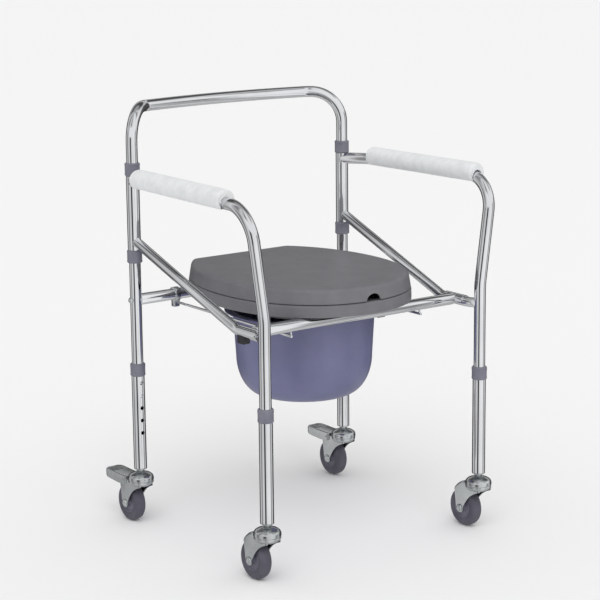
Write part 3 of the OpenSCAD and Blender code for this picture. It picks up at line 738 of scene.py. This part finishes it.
def make_castor(leg):
    x, rear, _ = box_mid(f"castor_stem_{leg}")
    here = at(x, rear, 0)
    castor = f"castor_{leg}"
    trail, wheel = 36 * MM, 37.5 * MM
    crown = 93.5 if leg[0] == "f" else 89.5

    stem = [(0, 78), (8.5, 78), (8.5, 80.6), (5.5, 80.7), (5.5, 112.4), (9.0, 112.6), (12.7, 113.4, 1),
            (12.7, 116), (11.1, 116.1), (11.1, 143, 1.5), (0, 144)]
    Build().add(*turned(stem, 0.5), here).make(
        f"stem_and_plug_{leg}", ZINC, f"leg_{leg}", f"castor_stem_{leg}")

    fork = Build()
    stations = sorted(set(spaced(-21, 51.5, 1.5) + [y for y, _ in FORK_EDGE]))
    fork.add(*channel(stations,
                      lambda y: 16.5 - 2.0 * max(0, (-14 - y) / 7) ** 2,
                      lambda y: crown - (crown - 78) * max(0, (y - 24) / 27.5) ** 2,
                      lambda y: along(FORK_EDGE, y), 2.5, 6.0), here)
    housing = [(5.6, 79.5), (16.5, 79.5, 1.2), (21.5, 82.0, 2.5), (24.4, 85.0, 2.0), (25.2, 88.0, 1.2),
               (24.2, 89.0, 0.5), (24.3, 90.2, 0.5), (25.5, 91.2, 1.2), (25.6, 95.6, 3.5), (24.2, 99.8, 3.5),
               (20.4, 103.2, 4.0), (14.5, 105.4, 4.0), (10.6, 107.0, 1.6), (9.2, 108.4, 1.0), (5.6, 108.6)]
    fork.add(*turned_ring(housing, 1, 5, 72), here)
    fork.make(f"stamped_fork_{leg}", ZINC, castor, f"castor_fork_{leg}")

    half_tyre = [(21, 10), (28.4, 11.4, 1), (32.4, 11.3, 2.6), (36.2, 8.6, 2.8), (37.4, 3.5, 3)]
    centre = along_x(x, rear + trail, wheel)
    Build().add(*turned_ring(both_halves(half_tyre, [(37.5, 0, 3)]), 1, 6, 96), centre).make(
        f"tyre_{leg}", TYRE, f"wheel_{leg}", f"castor_tyre_{leg}")
    half_hub = [(4.1, 13.6), (7.2, 13.6, 0.8), (8.2, 12.6, 0.8), (8.8, 8.4, 1.2), (18.2, 7.4, 1.2),
                (19.6, 10.2, 0.8), (21.2, 10.4, 0.5)]
    Build().add(*turned_ring(both_halves(half_hub), 1, 4, 72), centre).make(
        f"wheel_centre_{leg}", HUB, f"wheel_{leg}", f"castor_hub_{leg}")

    axle = Build().add(*cylinder(4, -20.8, 20.8, 0.8), centre)
    axle.add(*hexagon(12.6, 16.6, 21.2), centre)
    head = [(0, 16.6), (7.2, 16.6, 0.3), (7.2, 17.6, 0.8), (5.6, 20.0, 1.6), (0, 20.6)]
    axle.add(*turned(head, sides=40), along_x(x, rear + trail, wheel, -1))
    axle.make(f"axle_bolt_{leg}", ZINC, castor, f"castor_axle_{leg}")


PEDAL_EDGE = [(27, 79), (30, 77.5), (36, 76.2), (44, 75.4), (56, 74.6), (70, 75.2), (84, 75.8), (94, 76.4),
              (99, 78.0), (103, 82.0), (106, 86)]


def make_pedal(name, leg):
    x, rear, _ = box_mid(f"castor_stem_{leg}")
    here = at(x, rear, 0)

    def half(y):
        return 19.2 - 5.5 * max(0, (y - 96) / 10) ** 3 - 1.2 * max(0, (34 - y) / 7)

    def ribbed(y):
        ripple = 0.7 * (0.5 + 0.5 * math.cos((y - 78) * TAU / 6)) if 75 < y < 99 else 0
        return 93.4 + ripple

    sheet = channel(spaced(27, 106, 0.75), half, ribbed, lambda y: along(PEDAL_EDGE, y), 2.0, 3.2)
    pedal = Build().add(*sheet, here)
    pedal.add(*cylinder(2.5, -21, 21, 0.6, 24), along_x(x, rear + 38 * MM, 84 * MM))
    tongue = [(52, 92), (52, 79, 2), (55, 77.2, 2), (60, 77.6, 2), (62, 80, 2), (62, 92)]
    pedal.add(*slab(in_metres(rounded(tongue, 1, 4, True)), -8 * MM, 8 * MM), here @ FACING_X)
    pedal.make(f"toe_pedal_{name}", ZINC, f"pedal_{name}", f"brake_pedal_{name}")


for leg_name in LEGS:
    make_castor(leg_name)
make_pedal("left", "rl")
make_pedal("right", "rr")


# --- lift-up seat frame --------------------------------------------------------------------

def make_seat_frame():
    end = BRACE_X - 9.2 * MM
    bar = [Vector((x, BAR_Y, BAR_Z)) for x in (-end, -120 * MM, 120 * MM, end)]
    Build().add(*rod(bar, TUBE_R, 48)).make("front_seat_bar", CHROME, "seat_frame", "front_bar")

    half = 28 * MM
    saddles = Build()
    half_turn = [180 * k / 28 for k in range(29)]
    section = in_metres(arc(11.7, half_turn) + arc(9.9, half_turn[::-1]))
    for side in SIDES.values():
        line = [Vector((side * BRACE_X, BAR_Y + y, BRACE_Z)) for y in (-half, -half + MM, half - MM, half)]
        saddles.add(*sweep(line, section))
    saddles.make("brace_saddles", CHROME, "seat_frame", "saddles")

    rail_x, rail_z = 151 * MM, BAR_Z - 19 * MM
    front, back = box_low("pail_rail_left").y, box_high("pail_rail_left").y
    for name, side in SIDES.items():
        rail = Build()
        points = [Vector((side * rail_x, y, rail_z)) for y in (front, front + 30 * MM, back - 30 * MM, back)]
        rail.add(*rod(points, 2.6 * MM, 24, 1.2 * MM))
        post = [Vector((side * (rail_x - MM), BAR_Y, rail_z + up * MM)) for up in (0, 6, 12)]
        rail.add(*rod(post, 1.8 * MM, 20))
        rail.make(f"wire_rail_{name}", CHROME, "seat_frame", f"pail_rail_{name}")

    hangers = Build()
    width = 12 * MM
    loop = arc(14.1, range(-60, 241, 6)) + [(-6, -14, 1), (-6, -25, 2), (6, -25, 2), (6, -14, 1)]
    plate = slab(in_metres(rounded(loop, 0, 3, True)), 0, width, 0.8 * MM)
    for side in SIDES.values():
        hangers.add(*plate, at(side * 160 * MM - width / 2, REAR_Y, BAR_Z) @ FACING_X)
    hangers.make("rail_straps", ZINC, "seat_frame", "rail_hangers")


make_seat_frame()


# --- seat ring and lid ---------------------------------------------------------------------

def dense_outline(half_width):
    """Seat outline: fuller than an ellipse at the front, cut straight at the rear with rounded corners."""
    points = []
    total = 2880
    power = 2 / 2.2
    for i in range(total):
        t = TAU * i / total - math.pi / 2
        c, s = math.cos(t), math.sin(t)
        if s < 0:
            p = (half_width * math.copysign(abs(c) ** power, c), -SEAT_FRONT * abs(s) ** power + SEAT_MID_Y)
        else:
            p = (half_width * c, SEAT_BACK * s + SEAT_MID_Y)
        points.append(Vector((p[0], min(p[1], SEAT_REAR_Y))))
    return evenly(points, 1600, 16 * MM)


def evenly(points, count, smooth):
    """Respaces a closed outline and rounds it over about the given length."""
    for _ in range(3):
        lengths = [0.0]
        for a, b in zip(points, points[1:] + points[:1]):
            lengths.append(lengths[-1] + (b - a).length)
        total = lengths[-1]
        spaced_points = []
        k = 0
        for i in range(count):
            want = total * i / count
            while lengths[k + 1] < want:
                k += 1
            a, b = points[k], points[(k + 1) % len(points)]
            t = (want - lengths[k]) / max(lengths[k + 1] - lengths[k], 1e-12)
            spaced_points.append(a.lerp(b, t))
        reach = max(1, round(smooth / 3 / (total / count)))
        points = []
        for i in range(count):
            near = [spaced_points[(i + d) % count] for d in range(-reach, reach + 1)]
            points.append(sum(near, Vector((0, 0))) / len(near))
    return points


def seat_columns(half_width, fine=26 * MM):
    """Outline stations, close together at the front middle, as (point, outward normal)."""
    outline = dense_outline(half_width)
    count = len(outline)
    columns = []
    for i, p in enumerate(outline):
        if i % 4 and (abs(p.x) > fine or p.y > SEAT_MID_Y):
            continue
        tangent = (outline[(i + 2) % count] - outline[i - 2]).normalized()
        columns.append((p, Vector((tangent.y, -tangent.x))))
    return columns


NOTCH_HALF = 16 * MM
NOTCH_HIGH = 13 * MM


def notch_rise(x, y):
    """How far the lid's rim is cut up at the finger notch."""
    if y > SEAT_MID_Y or abs(x) >= NOTCH_HALF:
        return 0.0
    return NOTCH_HIGH * math.sqrt(1 - (x / NOTCH_HALF) ** 2)


def lug(mid_x, width, low_z, radius=4.2 * MM):
    """A hinge knuckle: round about the pin and joined to the seat's rear wall in front of it."""
    wall_y = SEAT_REAR_Y - 2 * MM
    outline = [(wall_y, low_z), (wall_y, HINGE.z + radius)]
    outline += [(HINGE.y + a, HINGE.z + b) for a, b in arc(radius, range(90, -91, -10))]
    if low_z < HINGE.z - radius:
        outline.append((HINGE.y, low_z))
    return slab(outline, (mid_x - width / 2) * MM, (mid_x + width / 2) * MM, 0.7 * MM)


def make_lid():
    columns = seat_columns(188 * MM - 0.4 * MM)
    middle = Vector((0, SEAT_MID_Y + 20 * MM))
    size = len(columns)
    wall = 3.6 * MM
    rim = [(wall, 0.0), (wall - 0.5 * MM, 0.0), (0.9 * MM, 0.0), (0.25 * MM, 0.25 * MM), (0.0, 0.9 * MM)]
    verts = []

    def ring(inset, z, notch=0.0, scale=1.0):
        for p, normal in columns:
            q = p - normal * inset
            q = middle + (q - middle) * scale
            rise = notch * notch_rise(q.x, q.y)
            verts.append(Vector((q.x, q.y, z + rise)))

    skirt = LID_HIGH - LID_LOW
    inside = skirt - wall
    # inner ceiling from the middle outwards, then down the inner wall
    for s in (0.04, 0.3, 0.6, 0.85):
        ring(wall + 6 * MM, LID_LOW + inside, 0, s)
    ring(wall + 5 * MM, LID_LOW + inside)
    ring(wall + 1.5 * MM, LID_LOW + inside - 1.5 * MM)
    ring(wall, LID_LOW + inside - 5 * MM)
    for k in range(3, 0, -1):
        ring(wall, LID_LOW + (inside - 6 * MM) * k / 4, 1 - k / 4)
    for inset, lift in rim:
        ring(inset, LID_LOW + lift, 1.0)
    lean, shoulder = 3.2 * MM, 9.0 * MM
    side_high = skirt - shoulder - 0.8 * MM
    for k in range(1, 9):
        t = k / 8
        ring(lean * t, LID_LOW + 0.9 * MM + (side_high - 0.9 * MM) * t, 1 - t)
    # rounded shoulder, then the faintly crowned top
    for k in range(1, 11):
        a = math.pi / 2 * k / 10
        ring(lean + shoulder * (1 - math.cos(a)), LID_LOW + side_high + shoulder * math.sin(a))
    for s in (0.97, 0.9, 0.8, 0.65, 0.5, 0.35, 0.2, 0.08):
        ring(lean + shoulder, LID_HIGH - 0.8 * MM + 1.6 * MM * (1 - s * s), 0, s)
    faces = rings_to_faces(len(verts) // size, size)
    lid = Build().add(verts, faces)
    for x in HINGE_XS:
        lid.add(*lug(x, 15, HINGE.z - 0.2 * MM), FACING_X)
    lid.make("seat_lid", SEAT, "lid", "lid", sharp=40)

    feet = Build()
    foot = [(0, 0), (5.6, 0, 1.2), (6, 3, 1), (6, 20), (0, 20)]
    base = box_low("lid_bumpers").z
    for x in (-150, 150):
        for y in (SEAT_MID_Y - 60 * MM, SEAT_MID_Y + 90 * MM):
            feet.add(*turned(foot, 1, sides=32), at(x * MM, y, base))
    feet.make("lid_feet", BLACK, "lid", "lid_bumpers")

    pins = Build()
    for x in HINGE_XS:
        pins.add(*cylinder(2.5, -18, 18, 0.6, 24), along_x(x * MM, HINGE.y, HINGE.z))
    pins.make("lid_pins", ZINC, "seat_frame", "hinge_pins")


def make_ring():
    columns = seat_columns(190 * MM)
    size = len(columns)
    wall = 3.6 * MM
    guard_low = RING_LOW - 18 * MM
    half_x, half_y = 104 * MM, 128 * MM
    middle = Vector((0, OPENING_Y))
    inner = []
    for p, _ in columns:
        way = (p - middle).normalized()
        inner.append((middle + way / math.sqrt((way.x / half_x) ** 2 + (way.y / half_y) ** 2), way))
    verts = []

    def outer_ring(inset, z):
        for p, normal in columns:
            q = p - normal * inset
            verts.append(Vector((q.x, q.y, z)))

    def inner_ring(outset, z):
        for p, way in inner:
            q = p + way * outset
            verts.append(Vector((q.x, q.y, z)))

    def between(t, z):
        for (p, normal), (q, way) in zip(columns, inner):
            a = (p - normal * 6 * MM).lerp(q + way * 7 * MM, t)
            verts.append(Vector((a.x, a.y, z)))

    top = RING_HIGH
    outer_ring(wall, RING_LOW)
    outer_ring(0.8 * MM, RING_LOW)
    outer_ring(0.2 * MM, RING_LOW + 0.2 * MM)
    outer_ring(0, RING_LOW + 0.8 * MM)
    outer_ring(0, RING_LOW + 9 * MM)
    outer_ring(0.2 * MM, top - 5 * MM)
    for k in range(1, 7):
        a = math.pi / 2 * k / 6
        outer_ring(0.2 * MM + 4.6 * MM * (1 - math.cos(a)), top - 4.6 * MM * (1 - math.sin(a)))
    for t, drop in ((0.02, 0.02), (0.25, 0.5), (0.5, 1.0), (0.75, 1.6), (1.0, 2.2)):
        between(t, top - drop * MM)
    for k in range(1, 7):
        a = math.pi / 2 * k / 6
        inner_ring(7 * MM * (1 - math.sin(a)), top - 2.2 * MM - 7 * MM * (1 - math.cos(a)))
    inner_ring(0, guard_low + 1 * MM)
    inner_ring(0.4 * MM, guard_low)
    inner_ring(wall - 0.4 * MM, guard_low)
    inner_ring(wall, guard_low + 1 * MM)
    inner_ring(wall, top - 12 * MM)
    inner_ring(wall + 4 * MM, top - 7 * MM)
    between(0.75, top - 6 * MM)
    between(0.25, top - 5 * MM)
    outer_ring(wall + 2.6 * MM, top - 4.6 * MM)
    outer_ring(wall, top - 8 * MM)
    faces = rings_to_faces(len(verts) // size, size, looped=True)
    seat = Build().add(verts, faces)
    skirt = rounded([(-3.6, 0, 0.6), (0, 0, 0.6), (0, 36), (-3.6, 36)], 0.6, 3, True)
    skirt_x, skirt_y, sides = 130, 133, 128
    skirt_verts = []
    for grow, lift in skirt:
        for a, b in circle(MM, sides):
            skirt_verts.append(Vector((a * (skirt_x + grow), b * (skirt_y + grow), guard_low + lift * MM)))
    seat.add(skirt_verts, rings_to_faces(len(skirt), sides, looped=True), at(0, OPENING_Y, 0))
    for x in HINGE_XS:
        for shift in (-13, 13):
            seat.add(*lug(x + shift, 10, RING_LOW + 8 * MM), FACING_X)
    seat.make("seat_ring_moulding", SEAT, "seat_frame", "seat_ring", sharp=40)


def make_ring_hooks():
    hooks = Build()
    inner, outer = 11.2, 14.1
    hook = arc(outer, range(-80, 1, 8)) + [(outer, 11.5, 1), (0.2, 11.5)] + arc(inner, range(88, -81, -8))
    loop = in_metres(rounded(hook, 0, 3, True))
    for x in (-60, 60):
        hooks.add(*slab(loop, (x - 9) * MM, (x + 9) * MM, 0.4 * MM), at(0, BAR_Y, BAR_Z) @ FACING_X)
    hooks.make("ring_hooks", SEAT, "seat_frame", "ring_clips")


make_lid()
make_ring()
make_ring_hooks()


# --- pail --------------------------------------------------------------------------------------

def make_pail():
    low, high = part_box("pail")
    top = (high.z - low.z) / MM
    foot, wall = 82.0, 2.6

    def bulge(inset):
        """A quarter of an ellipse, from the flat base up to the steep side."""
        return [(foot + (49 - inset) * b, inset + (75 - inset) * (1 - a)) for a, b in arc(1, range(0, 91, 5))]

    outer = [(0, 0), (40, 0), (foot - 2, 0)] + bulge(0)[1:]
    lip = [(135.6, top - 14), (136.4, top - 5, 1.6), (139, top - 2.9, 1), (150.6, top - 2.7, 1.2),
           (152.4, top - 2.2, 0.8), (152.4, top - 0.5, 0.8), (150.6, top, 0.8), (140, top, 1),
           (135.6, top - 1.2, 1.6), (133.8, top - 5, 1.6)]
    inner = bulge(wall)[::-1] + [(foot - 6, wall), (40, wall), (0, wall)]
    profile = in_metres(outer + rounded(lip, 1, 4) + inner)
    Build().add(*lathe(profile, 128), at(0, PAIL_Y, low.z)).make("round_pail", PAIL, "pail", "pail", sharp=50)


make_pail()


# --- floor, light and surroundings ----------------------------------------------------------------

def make_floor():
    half = 60
    corners = [(-half, -half, 0), (half, -half, 0), (half, half, 0), (-half, half, 0)]
    mesh = bpy.data.meshes.new("studio_floor")
    mesh.from_pydata(corners, [], [[0, 1, 2, 3]])
    mat, _, shader = new_material("pale_floor")
    shader.inputs["Base Color"].default_value = (0.93, 0.93, 0.93, 1)
    shader.inputs["Roughness"].default_value = 0.9
    shader.inputs["Specular IOR Level"].default_value = 0.1
    mesh.materials.append(mat)
    floor = bpy.data.objects.new("studio_floor", mesh)
    floor.visible_glossy = False
    bpy.context.scene.collection.objects.link(floor)


def background(tree, colour=None, level=1.0, strength=1.0):
    node = tree.nodes.new("ShaderNodeBackground")
    node.inputs["Color"].default_value = (level, level, level, 1)
    node.inputs["Strength"].default_value = strength
    if colour:
        tree.links.new(colour, node.inputs["Color"])
    return node.outputs["Background"]


def either(tree, factor, plain, chosen):
    """The chosen shader where the factor is 1, and the plain one where it is 0."""
    mix = tree.nodes.new("ShaderNodeMixShader")
    tree.links.new(factor, mix.inputs["Fac"])
    tree.links.new(plain, mix.inputs[1])
    tree.links.new(chosen, mix.inputs[2])
    return mix.outputs["Shader"]


def make_world():
    """Even white light. Shiny surfaces see pale and dark upright panels, as in a tent with black flags."""
    world = bpy.data.worlds.new("studio")
    bpy.context.scene.world = world
    world.use_nodes = True
    tree = world.node_tree
    nodes, links = tree.nodes, tree.links
    nodes.clear()
    output = nodes.new("ShaderNodeOutputWorld")
    direction = nodes.new("ShaderNodeTexCoord")
    split = nodes.new("ShaderNodeSeparateXYZ")
    links.new(direction.outputs["Generated"], split.inputs["Vector"])

    turn = nodes.new("ShaderNodeMath")
    turn.operation = "ARCTAN2"
    links.new(split.outputs["Y"], turn.inputs[0])
    links.new(split.outputs["X"], turn.inputs[1])
    around = graded(tree, map_range(tree, turn.outputs["Value"], -math.pi, math.pi), PANELS)

    height = map_range(tree, split.outputs["Z"], -1, 1)
    sky = nodes.new("ShaderNodeMix")
    sky.data_type = "RGBA"
    links.new(map_range(tree, split.outputs["Y"], -0.2, 0.1), sky.inputs["Factor"])
    links.new(graded(tree, height, FRONT_SKY), sky.inputs["A"])
    links.new(graded(tree, height, REAR_SKY), sky.inputs["B"])

    panel_or_sky = nodes.new("ShaderNodeMix")
    panel_or_sky.data_type = "RGBA"
    panel_or_sky.blend_type = "LIGHTEN"
    panel_or_sky.inputs["Factor"].default_value = 1.0
    links.new(around, panel_or_sky.inputs["A"])
    links.new(sky.outputs["Result"], panel_or_sky.inputs["B"])

    shiny = background(tree, panel_or_sky.outputs["Result"])
    soft = background(tree, strength=0.74)
    backdrop = background(tree, level=0.90)
    rays = nodes.new("ShaderNodeLightPath")
    light = either(tree, rays.outputs["Is Glossy Ray"], soft, shiny)
    seen = either(tree, rays.outputs["Is Camera Ray"], light, backdrop)
    links.new(seen, output.inputs["Surface"])


def graded(tree, factor, stops):
    """Grey that follows (place, level) stops as the factor goes from 0 to 1."""
    node = tree.nodes.new("ShaderNodeValToRGB")
    elements = node.color_ramp.elements
    while len(elements) < len(stops):
        elements.new(0.5)
    for element, (place, level) in zip(elements, stops):
        element.position = place
        element.color = (level, level, level, 1)
    tree.links.new(factor, node.inputs["Fac"])
    return node.outputs["Color"]


# Brightness from straight down (0) to straight up (1); the brighter of this and the panels is seen
FRONT_SKY = [(0.0, 0.55), (0.28, 0.50), (0.34, 0.0), (0.56, 0.0), (0.60, 0.95), (0.80, 1.0), (0.86, 0.30),
             (1.0, 0.40)]
REAR_SKY = [(0.0, 0.55), (0.28, 0.50), (0.34, 0.0), (0.62, 0.0), (0.66, 0.55), (0.74, 0.60), (0.78, 0.10),
            (0.90, 0.08), (0.94, 0.35), (1.0, 0.45)]

# Share of a turn from -X through -Y, +X and +Y, with the brightness of the panel there
PANELS = [(0.00, 0.70), (0.05, 0.80), (0.075, 0.05), (0.12, 0.04), (0.145, 0.80), (0.20, 0.95), (0.33, 1.0),
          (0.36, 0.25), (0.40, 0.50), (0.44, 0.90), (0.47, 0.08), (0.66, 0.05), (0.80, 0.07), (0.84, 0.60),
          (0.87, 0.80), (0.90, 0.30), (0.95, 0.30), (0.98, 0.70)]


def make_sun(name, strength, spread, aim):
    sun = bpy.data.lights.new(name, "SUN")
    sun.energy = strength
    sun.angle = math.radians(spread)
    lamp = bpy.data.objects.new(name, sun)
    lamp.rotation_euler = (-Vector(aim)).to_track_quat("-Z", "Y").to_euler()
    lamp.visible_glossy = False
    bpy.context.scene.collection.objects.link(lamp)


make_floor()
make_world()
make_sun("key_light", 1.05, 50, (-0.5, -0.8, 1.1))
bpy.context.scene.view_settings.view_transform = "Standard"
